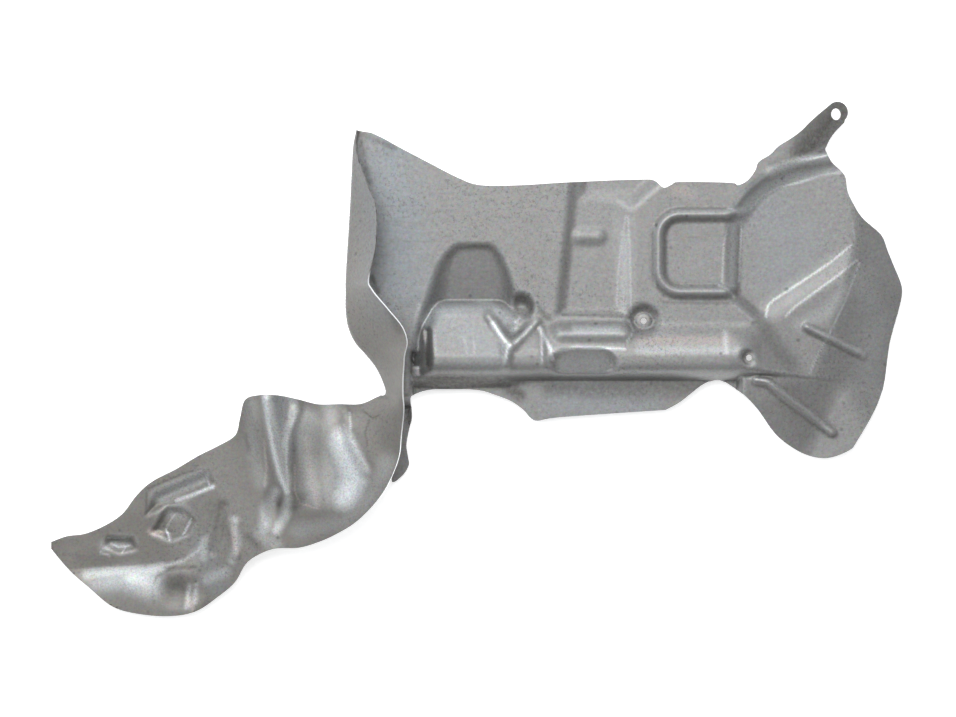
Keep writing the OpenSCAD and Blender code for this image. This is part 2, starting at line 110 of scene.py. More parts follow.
def smin(a, b, r):
    h = np.maximum(r - np.abs(a - b), 0) / r
    return np.minimum(a, b) - h * h * r / 4


def smax(a, b, r):
    return -smin(-a, -b, r)


def mix(a, b, t):
    return a + (b - a) * t


def ease(t):
    s = np.clip(t, 0, 1)
    return s * s * (3 - 2 * s)


def left(x, y, a, b):
    """Distance to the left of the line from a to b."""
    dx, dy = b[0] - a[0], b[1] - a[1]
    return ((y - a[1]) * dx - (x - a[0]) * dy) / math.hypot(dx, dy)


def off(x, y, a, b):
    """Distance from the stretch a to b."""
    dx, dy = b[0] - a[0], b[1] - a[1]
    t = np.clip(((x - a[0]) * dx + (y - a[1]) * dy) / (dx * dx + dy * dy), 0, 1)
    return np.hypot(x - a[0] - t * dx, y - a[1] - t * dy)


def off_path(x, y, path):
    return np.minimum.reduce([off(x, y, a, b) for a, b in zip(path, path[1:])])


def rib(x, y, path, width, height):
    return height * ease(1 - off_path(x, y, path) / width)


def oval(x, y, centre, radii):
    return np.hypot((x - centre[0]) / radii[0], (y - centre[1]) / radii[1])


def hump(x, y, centre, radii, height):
    return height * ease(1 - oval(x, y, centre, radii))


def hollow(x, y, floor, walls, r):
    """Hollow with a floor and sloping walls (a, b, slope), each with the hollow on its left."""
    z = floor + 0 * x
    for a, b, slope in walls:
        z = smax(z, -slope * left(x, y, a, b), r)
    return z


def arc(centre, r, start, end, n):
    turns = [math.radians(mix(start, end, i / n)) for i in range(n + 1)]
    return [(centre[0] + r * math.cos(t), centre[1] + r * math.sin(t)) for t in turns]


def curve(points, n):
    """Smooth curve through points of any length, n steps between each pair."""
    pts = np.array(points, float)
    last = len(pts) - 1
    out = []
    for i in range(last):
        a, b, c, d = pts[max(i - 1, 0)], pts[i], pts[i + 1], pts[min(i + 2, last)]
        for k in range(n):
            t = k / n
            out.append((2 * b + (c - a) * t + (2 * a - 5 * b + 4 * c - d) * t * t
                        + (3 * b - a - 3 * c + d) * t ** 3) / 2)
    return np.array(out + [pts[last]])


# Panel: height above its flat

U_CORNER = 13
U_RIB = ([(-54.5, -60.5)] + arc((-94, -73.5), U_CORNER, 90, 180, 8)
         + arc((-94, -94), U_CORNER, 180, 270, 8) + [(-62, -107)])
LONG_BEAD = [(-48.5, -160), (-41.5, -161), (-31, -170), (-2.5, -191.5)]
SHORT_BEAD = [(-18, -128), (15, -144.5)]
SWELLING = [(-165.5, -131), (-128, -131)]
RIDGE_A = [(-209, -121.5), (-197.5, -138), (-199, -151.5)]
RIDGE_B = [(-180.5, -125), (-194.5, -139)]
RIDGE_C = [(-177.5, -129), (-176.5, -151.5)]
GROOVE = [(-245.5, -131), (-245.5, -151.5)]
SEAT = (-116, -124.5)
LOWER_SEAT = (-53, -146.5)
BOSS = (-57, -141.5)
SEAT_R, UPPER_LEVEL, LOWER_LEVEL = 3.6, -1.6, 4.6
BULGE_WALLS = [((-254.5, -126), (-254.5, -200), 1.5), ((-243, -112), (-254.5, -126), 1.2),
               ((-180, -112), (-243, -112), 1.5)]
BULGE_FALL, BULGE_BASE = 0.27, 9
RECESS_WALLS = [((-204, -78), (-229, -78), 1.4), ((-227, -76), (-241, -90), 1.2),
                ((-238.5, -88), (-254, -133), 1), ((-256, -133), (-256, -200), 1),
                ((-188.5, -118), (-198, -89), 0.9), ((-196.5, -91), (-207, -77), 1.2)]
RECTANGLE_WALLS = [((-161, -43), (-168.5, -115), 0.55), ((-168.5, -122.5), (-122.5, -122.5), 0.6),
                   ((-122.5, -122.5), (-122.5, -43), 0.3)]
PAD_WALLS = [((-158.5, -43), (-160, -59), 0.6), ((-160, -59), (-125, -59.5), 0.35),
             ((-125, -59.5), (-107.5, -44.5), 0.55)]
EAR_LINE = [(-5.5, -23.5), (-33, -31), (-52, -42.5), (-64, -59)]
EAR_WALLS = [(a, b, 0.55) for a, b in zip(EAR_LINE, EAR_LINE[1:])]
PAN_WALLS = EAR_WALLS + [((-66.5, -65), (-66.5, -112), 0.7), ((-64, -112), (-45, -128), 0.85)]
CREASE = ((-41.5, -127.5), (-23, -158.5))
STEP = ((-34, -121), (14, -89.5))
STEP_MIDDLE = ((-40, -119), (14, -83.5))
LOBE_LINE = ((14, -90), (-17, -155.5))
LOBE_END_Y, LOBE_END_FALL = -163, 0.22
PAN_END_X = 11
FLANGE_Y = -160.5
TONGUE_Y = -168


def valley(x, y):
    return -FACET_DEPTH - 0.42 * left(x, y, *CREASE)


def lower_right(x, y):
    """Facet and lobe below the step of the pan."""
    flat = -FACET_DEPTH + 0.05 * np.minimum(left(x, y, *STEP), 3)
    inner = smin(0 * x, smax(valley(x, y), flat, 1.5), 1.5)
    lobe = -FACET_DEPTH - 0.8 - LOBE_FALL * left(x, y, *LOBE_LINE)
    return smin(smin(inner, lobe, 1), LOBE_END_FALL * (y - LOBE_END_Y), 4)


def pan(x, y):
    walls = hollow(x, y, -PAN_DEPTH, PAN_WALLS, 1.2)
    return smax(walls, -FACET_DEPTH - 0.2 * left(x, y, *STEP), 1.2)


def hollows(x, y):
    floor = -RECESS_DEPTH - RECESS_FALL * np.maximum(-82 - y, 0)
    recess = hollow(x, y, floor, RECESS_WALLS, 4)
    pocket = -6.5 + 8 * oval(x, y, (-190, -116), (9.6, 9.6)) ** 2
    rectangle = hollow(x, y, -RECTANGLE_DEPTH, RECTANGLE_WALLS, 1.2)
    pad = hollow(x, y, -PAD_DEPTH, PAD_WALLS, 1)
    return smin(smin(smin(smin(0 * x, recess, 2), pocket, 2), rectangle, 1), pad, 1)


def tube(x, y):
    """Half tube, with a broader bulge at its left end."""
    d = y + TUBE_Y
    south = TUBE_RISE - TUBE_DROP * np.clip(-d / TUBE_W, 0, 1) ** 4
    north = TUBE_RISE - 0.087 * np.maximum(d, 0) ** 1.5
    crown = np.where(d > 0, TUBE_RISE - BULGE_FALL * d, south)
    bulge = -hollow(x, y, -crown - BULGE_BASE, BULGE_WALLS, 5) - BULGE_BASE
    return mix(bulge, np.where(d > 0, north, south), ease((x + 205) / 14))


def flange(x, y):
    level = TUBE_RISE - TUBE_DROP
    skirt = np.maximum(-2.2 + 1.7 * np.minimum(y + 158.5, 0), level - 5)
    return mix(skirt, level + 0.13 * (y - FLANGE_Y), ease((x + 208) / 24))


def ear(x, y):
    out = -np.minimum.reduce([left(x, y, a, b) for a, b, _ in EAR_WALLS])
    fall = EAR_FALL * smax(0 * x, x + EAR_RUN, 6) * ease((2 + out) / 6)
    return np.where(x < -40, 0, fall)


def press(x, y):
    """Panel with its hollows, ribs and half tube."""
    upper = hollows(x, y)
    over_step = ease(left(x, y, *STEP_MIDDLE) / 3 + 0.5)
    z = np.where(x < -80, upper, mix(smin(upper, lower_right(x, y), 1), upper, over_step))
    z = np.where(x < -80, z, smin(z, pan(x, y), 1))
    z = z + rib(x, y, U_RIB, U_RIB_W, U_RIB_H) * ease((z + PAN_DEPTH) / PAN_DEPTH)
    z = z + rib(x, y, [(-154, -73.5), (-143.5, -73.5)], 7, 1.6)
    below = (ease((-142 - y) / 5) * ease((-56 - x) / 8)
             * np.maximum(ease((x + 256) / 3), ease((TONGUE_Y - y) / 16)))
    open_z = mix(z, -30, below)
    tubed = smax(open_z, smin(tube(x, y), valley(x, y) + 1, 3), 1.6)
    z = np.where(x < -256, open_z, tubed)
    z = np.where((y > -151.5) | (x > -65.5), z, smax(z, flange(x, y), 0.8))
    z = z + rib(x, y, SWELLING, 8, SWELLING_H)
    flat = ease((1.15 - oval(x, y, (-152, -149.5), (18.6, 10.2))) / 0.25)
    z = np.where(y > -139.5, z, mix(z, smin(z, 5.4 + 0.3 * (y + 142), 0.5), flat))
    z = (z + rib(x, y, RIDGE_A, 4.6, 1.8) + rib(x, y, RIDGE_B, 4.2, 1.8)
         + rib(x, y, RIDGE_C, 2.6, 1.2) - rib(x, y, GROOVE, 3.2, 2.4)
         - hump(x, y, (-193.5, -130), (8, 6), 2.4)
         + rib(x, y, SHORT_BEAD, BEAD_W, BEAD_H) + rib(x, y, LONG_BEAD, BEAD_W, BEAD_H))
    ended = smin(z, -PAN_DEPTH - 0.4 * (x - PAN_END_X), 1.5)
    z = np.where((x < -28) | (y > -22), z, ended)
    z = z - SEAT_DEPTH * ease(1.5 - 1.1 * oval(x, y, SEAT, (9, 9))) + hump(x, y, BOSS, (12, 13), 2.2)
    for (cx, cy), level in ((SEAT, UPPER_LEVEL), (LOWER_SEAT, LOWER_LEVEL)):
        z = mix(z, level, ease((SEAT_R + 2 - np.hypot(x - cx, y - cy)) / 2))
    return z - ear(x, y)


# Side: the wall that rises from the bend, and the lobe that it runs out into.
# Each section is (place along the blank, point on the inner edge, point on the free edge),
# with heights in parts of the wall above the bend.

SECTIONS = [
    (-10, (-288, -10, 0), (-288, -10, 0.02)),
    (-20, (-290, -20, 0), (-288, -24, 0.13)),
    (-38, (-291, -38, 0), (-281.5, -43, 0.38)),
    (-58, (-292, -58, 0), (-276.2, -57, 0.56)),
    (-82, (-293.5, -82, 0), (-276.2, -80, 0.72)),
    (-100, (-294.5, -100, 0), (-280.5, -99, 0.82)),
    (-107, (-294.5, -107, 0), (-278.5, -106, 0.85)),
    (-118, (-294.5, -118, 0), (-269, -117.5, 0.92)),
    (-128, (-293, -128, 0), (-260.5, -128, 0.97)),
    (-137, (-289, -137, 0), (-257.5, -137, 1)),
    (-145, (-282, -145, 0), (-259, -145, 1)),
    (-152, (-276.5, -152, 0), (-259.5, -152, 0.97)),
    (-160, (-272.5, -160, 0), (-260, -160, 0.95)),
    (-168, (-270.5, -168, 0.04), (-260, -169, 0.92)),
    (-178, (-276, -170.5, 0.15), (-259.5, -178, 0.89)),
    (-192, (-286, -174.5, 0.12), (-261, -193, 0.81)),
    (-206, (-299, -174.5, 0.12), (-262.5, -206, 0.7)),
    (-220, (-311.5, -174.5, 0.15), (-268.5, -221, 0.59)),
    (-234, (-323.5, -171.5, 0.23), (-276.5, -233, 0.45)),
    (-248, (-335.5, -169, 0.31), (-288, -244.5, 0.31)),
    (-260, (-347.5, -169, 0.31), (-300, -252, 0.18)),
    (-272, (-355, -172, 0.15), (-311, -257, 0.07)),
    (-284, (-358, -183, 0.01), (-323, -260.5, -0.01)),
    (-296, (-361, -193, -0.07), (-339, -261.5, -0.07)),
    (-308, (-371.5, -199.5, -0.15), (-353.5, -269, -0.15)),
    (-320, (-383.5, -205.5, -0.2), (-361.5, -281.5, -0.23)),
    (-334, (-397, -213.5, -0.29), (-372, -290.5, -0.34)),
    (-348, (-411.5, -221, -0.34), (-385, -299, -0.42)),
    (-360, (-421, -229.5, -0.4), (-400, -302, -0.51)),
    (-372, (-429.5, -240.5, -0.42), (-418, -301, -0.53)),
    (-384, (-440, -247.5, -0.45), (-435, -296.5, -0.53)),
    (-396, (-452, -252.5, -0.48), (-450, -284.5, -0.52)),
    (-404, (-463, -254, -0.49), (-462, -274, -0.51)),
    (-410, (-472.5, -257.5, -0.49), (-472.5, -261.5, -0.51))]
SIDE = curve([(q, *inner, *free) for q, inner, free in SECTIONS], 6)
SIDE[:, [3, 6]] = BEND_R + SIDE[:, [3, 6]] * (WALL_H - BEND_R)
SIDE_Q = SIDE[::-1, 0]
SIDE_WIDTH = np.linalg.norm(SIDE[:, 4:] - SIDE[:, 1:4], axis=1)
LOBE_START_Q = -166


def on_edge(q, first):
    return [np.interp(q, SIDE_Q, SIDE[::-1, first + k]) for k in range(3)]


def fold_x(q):
    return np.interp(np.maximum(q, -168), SIDE_Q, SIDE[::-1, 1])


LOBE_RIDGE = [(-341, -171), (-337.5, -190), (-333, -209), (-328, -227)]
DISH_EDGE = [(-323.5, -176), (-327.5, -190), (-329, -208), (-328, -226)]
TIP_ROLL = [(-380, -254), (-393, -267.5), (-412, -271.5), (-454, -274)]
DIMPLE = [(-422, -255), (-439, -253.5), (-441, -260), (-432, -264.5), (-420, -262)]
LOBE_PAD = [(-378, -214), (-411, -228), (-416, -242), (-396.5, -235.5), (-373, -222)]
LOBE_HEX = [(-403, -234), (-413, -252), (-400, -257), (-389, -253), (-384.5, -245), (-390, -238)]
HEX_FOLD = ((-398, -233), (-403, -258))


def closed_walls(corners, slope):
    return [(a, b, slope) for a, b in zip(corners, corners[1:] + corners[:1])]


def lobe_form(x, y):
    """Forms of the lobe, over the plain surface between its two edges."""
    sunk = smin(0 * x, hollow(x, y, -2.6, closed_walls(LOBE_PAD, 0.7), 0.8), 0.8)
    fold = left(x, y, *HEX_FOLD)
    hex_floor = -3.4 + 0.16 * np.abs(fold)
    sunk = smin(sunk, hollow(x, y, hex_floor, closed_walls(LOBE_HEX, 0.9), 1), 0.8)
    sunk = smin(sunk, hollow(x, y, -2.6, closed_walls(DIMPLE, 0.9), 1), 0.8)
    below = np.maximum.reduce([left(x, y, a, b) for a, b in zip(TIP_ROLL, TIP_ROLL[1:])])
    roll = 4.5 * (1 - np.exp(-np.maximum(below, 0) / 9)) * ease((-x - 372) / 20)
    return (sunk + roll + rib(x, y, LOBE_RIDGE, 12, LOBE_RIDGE_H) + rib(x, y, DISH_EDGE, 5, 1)
            - hump(x, y, (-305, -208), (27, 34), DISH_DEPTH)
            + rib(x, y, [(-295, -179), (-292, -196), (-282.5, -215)], 5, 0.8)
            - hump(x, y, (-337, -236), (9, 17), 3)
            - hump(x, y, (-394, -287), (17, 13), 3)
            + rib(x, y, [(-361, -246), (-361, -264)], 5, 1.2)
            - rib(x, y, [(-368, -236), (-374, -262)], 5, 1))


# Sheet: the point in space for the place p, q on the blank

QUARTER = BEND_R * math.pi / 2
HOLE_DROP = EAR_FALL * EAR_RUN
SLIT_Q = -172


def place(p, q):
    turn = np.minimum(p / BEND_R, math.pi / 2)
    x = fold_x(q) + BEND_R * (1 - np.cos(turn)) + np.maximum(p - QUARTER, 0)
    panel = np.stack([x, q, BEND_R * (1 - np.sin(turn)) + press(x, q)], 1)
    inner, free = np.stack(on_edge(q, 1), 1), np.stack(on_edge(q, 4), 1)
    width = np.maximum(np.interp(q, SIDE_Q, SIDE_WIDTH[::-1]), 0.1)
    side = mix(inner, free, (-p / width)[:, None])
    side[:, 2] += lobe_form(side[:, 0], side[:, 1]) * ease((LOBE_START_Q - q) / 20)
    on_side = p < np.where(q < SLIT_Q, 2, 0)
    return np.where(on_side[:, None], side, panel) + (0, 0, HOLE_DROP)


# Outline of the blank

def blank(x, y):
    return (x - fold_x(y) - BEND_R + QUARTER, y)


TOP_EDGE = [(-279.5, -11.5), (-271, -15.5), (-264, -19.5), (-246, -29), (-227.5, -38.5),
            (-214, -43), (-190, -43), (-166, -41.5), (-136, -40), (-115, -39.5), (-109, -40.5),
            (-104, -44.5), (-99, -42.5), (-94, -41), (-64, -41.5), (-59.5, -43), (-53.5, -40),
            (-49, -34), (-47, -29), (-40, -24.5), (-35, -19.5), (-27, -14.5), (-21, -10),
            (-16, -5), (-11, -0.5)]
EAR_TIP, EAR_TIP_R = (1, 1.3), 6.3
RIGHT_EDGE = [(5, -5), (0, -10), (-3.5, -14.5), (-6, -19.5), (-6.5, -22.5), (-3, -29), (2.5, -34),
              (5.5, -38.5), (6.5, -46), (9.5, -53), (15.5, -62.5), (27, -72.5), (31, -82),
              (35, -91.5), (39, -101), (40, -107), (38.5, -115.5), (33, -136), (31, -149),
              (29, -163.5), (23.5, -178), (12.5, -197), (8.5, -202), (-2.5, -206.5),
              (-12.5, -206.5), (-24, -202), (-36.5, -192.5), (-47, -178), (-56, -168.5),
              (-63, -163.5), (-69, -160), (-74, -160), (-81.5, -163.5), (-93.5, -173),
              (-102.5, -178)]
BOTTOM_EDGE = [(-125.5, -179.5), (-167.5, -182.5), (-179.5, -184.5), (-184, -182.5), (-188, -178),
               (-195, -173), (-203.5, -169.5), (-215.5, -166), (-233.5, -165.5), (-245.5, -166),
               (-254.5, -169), (-256, -171.5), (-255.5, -182.5), (-257.5, -192.5),
               (-258.5, -199.5), (-257.5, -206.5), (-257, -211), (-260, -216.5), (-265, -221),
               (-267.5, -221.5)]
SLIT = [(6, SLIT_Q - 4), (3, SLIT_Q), (0, SLIT_Q - 4)]


def outline():
    loop = [(0, -10)]
    loop += [blank(*v) for v in curve(TOP_EDGE, 4)]
    loop += [blank(*v) for v in arc(EAR_TIP, EAR_TIP_R, 135, -45, 24)]
    loop += [blank(*v) for v in curve(RIGHT_EDGE, 4)]
    loop += [blank(*v) for v in curve(BOTTOM_EDGE, 4)]
    loop += SLIT + [(0, -410)]
    loop += [(-w, q) for w, q in zip(SIDE_WIDTH[:0:-1], SIDE[:0:-1, 0])]
    return np.array(loop, float)


def resample(loop, step):
    """Points at even steps along a closed loop, its sharp corners kept."""
    out = []
    for a, b in zip(loop, np.roll(loop, -1, 0)):
        n = max(1, round(np.linalg.norm(b - a) / step))
        out += [mix(a, b, k / n) for k in range(n)]
    keep = [out[0]]
    for v in out[1:]:
        if np.linalg.norm(v - keep[-1]) > 0.35 * step:
            keep.append(v)
    return np.array(keep)


def holes():
    """The three holes on the blank; the ear's is seen along its own slanting axis."""
    slant = math.cos(math.atan(EAR_FALL))
    loops = []
    for (x, y), d, squeeze, n in [((0, 0), EAR_HOLE_D, slant, 40),
                                  (SEAT, RIVET_HOLE_D, 1, 24), (LOWER_SEAT, RIVET_HOLE_D, 1, 24)]:
        turn = np.arange(n) * 2 * math.pi / n
        px, py = blank(x + d / 2 * squeeze * np.cos(turn), y + d / 2 * np.sin(turn))
        loops.append(np.stack([px, py], 1))
    return loops


def inside(points, loops):
    """Even-odd rule, for points given as an array of places on the blank."""
    odd = np.zeros(len(points), bool)
    for loop in loops:
        for a, b in zip(loop, np.roll(loop, -1, 0)):
            spans = (a[1] > points[:, 1]) != (b[1] > points[:, 1])
            run = a[0] + (points[:, 1] - a[1]) * (b[0] - a[0]) / (b[1] - a[1] or 1)
            odd ^= spans & (points[:, 0] < run)
    return odd


def clear_of(points, loops, gap):
    """Marks the points that lie at least a gap away from every loop's own points."""
    edge = np.concatenate(loops)
    tree = KDTree(len(edge))
    for i, v in enumerate(edge):
        tree.insert((*v, 0), i)
    tree.balance()
    return np.array([tree.find((*v, 0))[2] > gap for v in points])


def net():
    """Flat triangles over the blank: places, triangles and the loops of its rim."""
    rim = resample(outline(), RIM_STEP)
    loops = [rim] + holes()
    low, high = rim.min(0), rim.max(0)
    rows = np.arange(low[1], high[1], CELL * math.sqrt(3) / 2)
    grid = np.concatenate([
        np.stack([np.arange(low[0], high[0], CELL) + (i % 2) * CELL / 2,
                  np.full(len(np.arange(low[0], high[0], CELL)), q)], 1)
        for i, q in enumerate(rows)])
    grid = grid[inside(grid, loops)]
    grid = grid[clear_of(grid, loops, RIM_CLEARANCE)]
    points = np.concatenate(loops + [grid])
    edges, start = [], 0
    for loop in loops:
        n = len(loop)
        edges += [(start + k, start + (k + 1) % n) for k in range(n)]
        start += n
    laid = delaunay_2d_cdt([Vector(v) for v in points], edges, [], 0, 1e-6)
    verts = np.array([(v.x, v.y) for v in laid[0]])
    faces = np.array(laid[2])
    faces = faces[inside(verts[faces].mean(1), loops)]
    area = np.cross(verts[faces[:, 1]] - verts[faces[:, 0]], verts[faces[:, 2]] - verts[faces[:, 0]])
    faces[area < 0] = faces[area < 0][:, ::-1]
    used = np.unique(faces)
    order = np.full(len(verts), -1)
    order[used] = np.arange(len(used))
    return verts[used], order[faces]


def normals(points, faces):
    a, b, c = (points[faces[:, k]] for k in range(3))
    face = np.cross(b - a, c - a)
    out = np.zeros_like(points)
    for k in range(3):
        np.add.at(out, faces[:, k], face)
    return out / np.maximum(np.linalg.norm(out, axis=1, keepdims=True), 1e-9)


def neighbours(faces, n):
    pairs = np.concatenate([faces[:, [0, 1]], faces[:, [1, 2]], faces[:, [2, 0]]])
    pairs = np.unique(np.concatenate([pairs, pairs[:, ::-1]]), axis=0)
    return pairs[:, 0], pairs[:, 1], np.maximum(np.bincount(pairs[:, 0], minlength=n), 1)


def smooth(values, links, rounds):
    at, to, count = links
    for _ in range(rounds):
        values = (values + np.bincount(at, values[to], len(values)) / count) / 2
    return values


def rim_edges(faces):
    pairs = np.concatenate([faces[:, [0, 1]], faces[:, [1, 2]], faces[:, [2, 0]]])
    key = pairs[:, 0] * (faces.max() + 1) + pairs[:, 1]
    back = pairs[:, 1] * (faces.max() + 1) + pairs[:, 0]
    return pairs[~np.isin(key, back)]


def sheet():
    """The whole sheet: both faces and the cut edge, with its bends, stains, wear, painted shade and painted
    highlights as attributes.
    """
    blank_points, faces = net()
    p, q = blank_points.T
    middle = place(p, q)
    normal = normals(middle, faces)
    links = neighbours(faces, len(middle))
    at, to, count = links
    around = np.stack([np.bincount(at, middle[to, k], len(middle)) / count for k in range(3)], 1)
    bend = smooth(((middle - around) * normal).sum(1) / CELL ** 2, links, 3)
    n = len(middle)
    points = np.concatenate([middle + normal * SHEET_T / 2, middle - normal * SHEET_T / 2])
    rim = rim_edges(faces)
    quads = np.stack([rim[:, 1], rim[:, 0], rim[:, 0] + n, rim[:, 1] + n], 1)
    polys = [tuple(f) for f in faces] + [tuple(f[::-1] + n) for f in faces]
    polys += [tuple(f) for f in quads]
    mesh = bpy.data.meshes.new("pressed_sheet")
    mesh.from_pydata([tuple(v) for v in points * MM], [], polys)
    mesh.shade_smooth()
    loose = {frozenset(e) for e in np.concatenate([rim, rim + n]).tolist()}
    sharp = mesh.attributes.new("sharp_edge", "BOOLEAN", "EDGE")
    sharp.data.foreach_set("value", [frozenset(e.vertices) in loose for e in mesh.edges])
    slots = [0] * (2 * len(faces)) + [1] * len(quads)
    mesh.polygons.foreach_set("material_index", slots)
    side = ease((2 - p) / 4)
    x, y = middle[:, 0], middle[:, 1]
    on_side = p < 1
    # Pale strokes: wear and painted highlights
    wear_and_highlight = np.where(on_side, strokes(x, y, SIDE_WEAR_AND_HIGHLIGHTS), strokes(x, y, PANEL_WEAR_AND_HIGHLIGHTS))
    # Dark strokes: stains and painted shade
    stain_and_shade = np.where(on_side, strokes(x, y, SIDE_STAINS_AND_SHADE), strokes(x, y, PANEL_STAINS_AND_SHADE))
    # Painted glint on the side wall's free edge
    edge_glint = ease((GLINT_FROM_Q - q) / GLINT_FADE_IN) * ease((q - GLINT_TO_Q) / GLINT_FADE_OUT)
    glint = np.where(p < 0, edge_glint, 0)
    # Painted pinkish highlights and a painted bluish reflection
    pink_highlight, sky_reflection = strokes(x, y, PINK_HIGHLIGHTS), strokes(x, y, SKY_REFLECTION_STROKES)
    up = normal[:, 2] > 0
    for name, front, back in [("crease", bend, -bend), ("side", side, side), ("sky_reflection", sky_reflection, sky_reflection),
                              ("glint", glint, glint), ("wear_and_highlight", wear_and_highlight * up, wear_and_highlight * ~up),
                              ("stain_and_shade", stain_and_shade * up, stain_and_shade * ~up), ("pink_highlight", pink_highlight * up, pink_highlight * ~up)]:
        layer = mesh.attributes.new(name, "FLOAT", "POINT")
        layer.data.foreach_set("value", np.concatenate([front, back]).astype(np.float32))
    obj = bpy.data.objects.new("pressed_sheet", mesh)
    bpy.context.scene.collection.objects.link(obj)
    return obj


# Strokes laid on the seen face, each (path, half width in mm, strength), with the places
# read in the photograph's frame. The dark strokes are partly stains and partly painted shade,
# under and along the half tube, on the upper walls of the recess and the seat, in the top left
# bend and in the lobe's pocket. The thin pale lines are partly wear and partly painted highlights
# along creases and edges. The broad pale ones, on the lobe's streak and dish, the bulge, the oval,
# the pan's walls and the ear's root, are painted highlights for light that the modelled forms
# don't catch, and stay put in every view. The pink strokes are painted pinkish highlights, and the
# blue ones a painted bluish reflection of the bright space above.

# Pale strokes on the panel: some wear, and painted highlights on the bulge, the oval, the half tube, the
# pan's walls, the ear's root and along creases and edges
PANEL_WEAR_AND_HIGHLIGHTS = [
    ([(426, 322), (438, 309), (490, 307), (505, 314), (512, 328)], 6.5, 0.55),
    ([(830, 157), (800, 161), (770, 172)], 5, 0.6),
    ([(626, 216), (622, 240), (618, 275), (617, 306)], 1.1, 0.3),
    ([(628, 216), (630, 250), (631, 312)], 1.1, 0.3),
    ([(625, 236), (624, 308)], 5, 0.25),
    ([(436, 305), (447, 303)], 2, 0.35),
    ([(478, 303), (490, 304), (497, 308)], 2.4, 0.6),
    ([(493, 324), (502, 339), (510, 347)], 3.2, 0.85),
    ([(503, 344), (503, 359)], 1, 0.5),
    ([(507, 344), (507, 359)], 1, 0.5),
    ([(540, 329), (545, 340), (551, 350), (552, 359)], 2, 0.85),
    ([(542, 338), (542, 360)], 0.9, 0.4),
    ([(514, 323), (520, 318)], 1.2, 0.6),
    ([(514, 344), (531, 327)], 1.6, 0.65),
    ([(463, 338), (467, 347), (467, 358)], 1.2, 0.15),
    ([(473, 338), (475, 350), (475, 358)], 1.2, 0.15),
    ([(555, 352), (576, 347), (624, 349)], 1.5, 0.7),
    ([(640, 351), (725, 350)], 5, 0.25),
    ([(575, 330), (618, 330)], 4, 0.5),
    ([(596, 331), (613, 330)], 1.8, 0.6),
    ([(628, 321), (633, 331), (627, 341)], 1.3, 0.7),
    ([(566, 365), (602, 365)], 13, 0.2),
    ([(600, 372), (720, 369)], 4, 0.2),
    ([(417, 338), (421, 372)], 4.5, 0.5),
    ([(420, 305), (414, 335)], 3, 0.3),
    ([(800, 325), (826, 312), (846, 290)], 8, 0.2),
    ([(737, 222), (747, 206), (766, 188), (790, 177), (840, 167)], 5.5, 0.5),
    ([(733, 225), (731, 285)], 4.5, 0.5),
    ([(672, 212), (735, 212)], 1.4, 0.3),
    ([(655, 225), (655, 285)], 1.4, 0.3),
    ([(862, 280), (880, 320), (868, 370)], 14, 0.15),
    ([(766, 317), (768, 306), (774, 300), (800, 283), (830, 263), (852, 245)], 1.2, 0.65),
    ([(786, 316), (795, 307), (814, 293), (840, 274), (857, 260)], 1.2, 0.6),
    ([(849, 293), (836, 321), (829, 335), (817, 357), (810, 374)], 1, 0.4),
    ([(848, 294), (855, 276), (860, 262)], 1.2, 0.5),
    ([(853, 222), (855, 240)], 1, 0.3),
    ([(743, 214), (752, 207), (760, 197), (778, 187), (804, 181), (822, 174), (840, 172)], 1.4, 0.6),
    ([(736, 204), (740, 197), (752, 185), (769, 173), (786, 164), (820, 160)], 1.8, 0.4),
    ([(728, 209), (736, 211), (743, 217)], 1.2, 0.6),
    ([(728, 224), (724, 245), (722, 282)], 1, 0.45),
    ([(742, 222), (740, 254), (739, 282)], 1, 0.5),
    ([(719, 286), (727, 289), (734, 297)], 1.4, 0.5),
    ([(748, 378), (760, 379), (772, 384)], 1.6, 0.4),
    ([(725, 333), (726, 352)], 3, 0.4),
]
# Dark strokes on the panel: stains, and painted shade under and along the half tube, on the flange below it,
# on the upper walls of the recess and the seat, and in the bend at the top left
PANEL_STAINS_AND_SHADE = [
    ([(562, 315), (600, 316), (632, 317)], 1.5, 0.5),
    ([(672, 219), (735, 219)], 2.2, 0.12),
    ([(664, 302), (690, 303), (733, 303)], 1.4, 0.4),
    ([(634, 312), (644, 306), (655, 312)], 3.5, 0.5),
    ([(448, 256), (458, 249), (478, 246), (496, 250), (503, 258)], 3, 0.4),
    ([(515, 297), (525, 300), (533, 310)], 5, 0.5),
    ([(535, 305), (548, 318)], 3, 0.4),
    ([(420, 383), (440, 380), (500, 383), (520, 395)], 6, 0.6),
    ([(430, 378), (480, 377), (540, 377), (640, 380), (735, 381)], 1.8, 0.15),
    ([(838, 112), (818, 137), (800, 154)], 12, 0.65),
    ([(775, 165), (800, 158)], 6, 0.3),
    ([(358, 133), (395, 148)], 2.5, 0.35),
    ([(361, 140), (364, 162), (370, 182)], 3, 0.4),
    ([(550, 388), (640, 392), (710, 388)], 9, 0.4),
    ([(765, 330), (772, 345), (790, 365)], 8, 0.3),
    ([(372, 277), (378, 292)], 2.5, 0.5),
    ([(400, 330), (407, 345), (410, 372)], 4, 0.4),
]
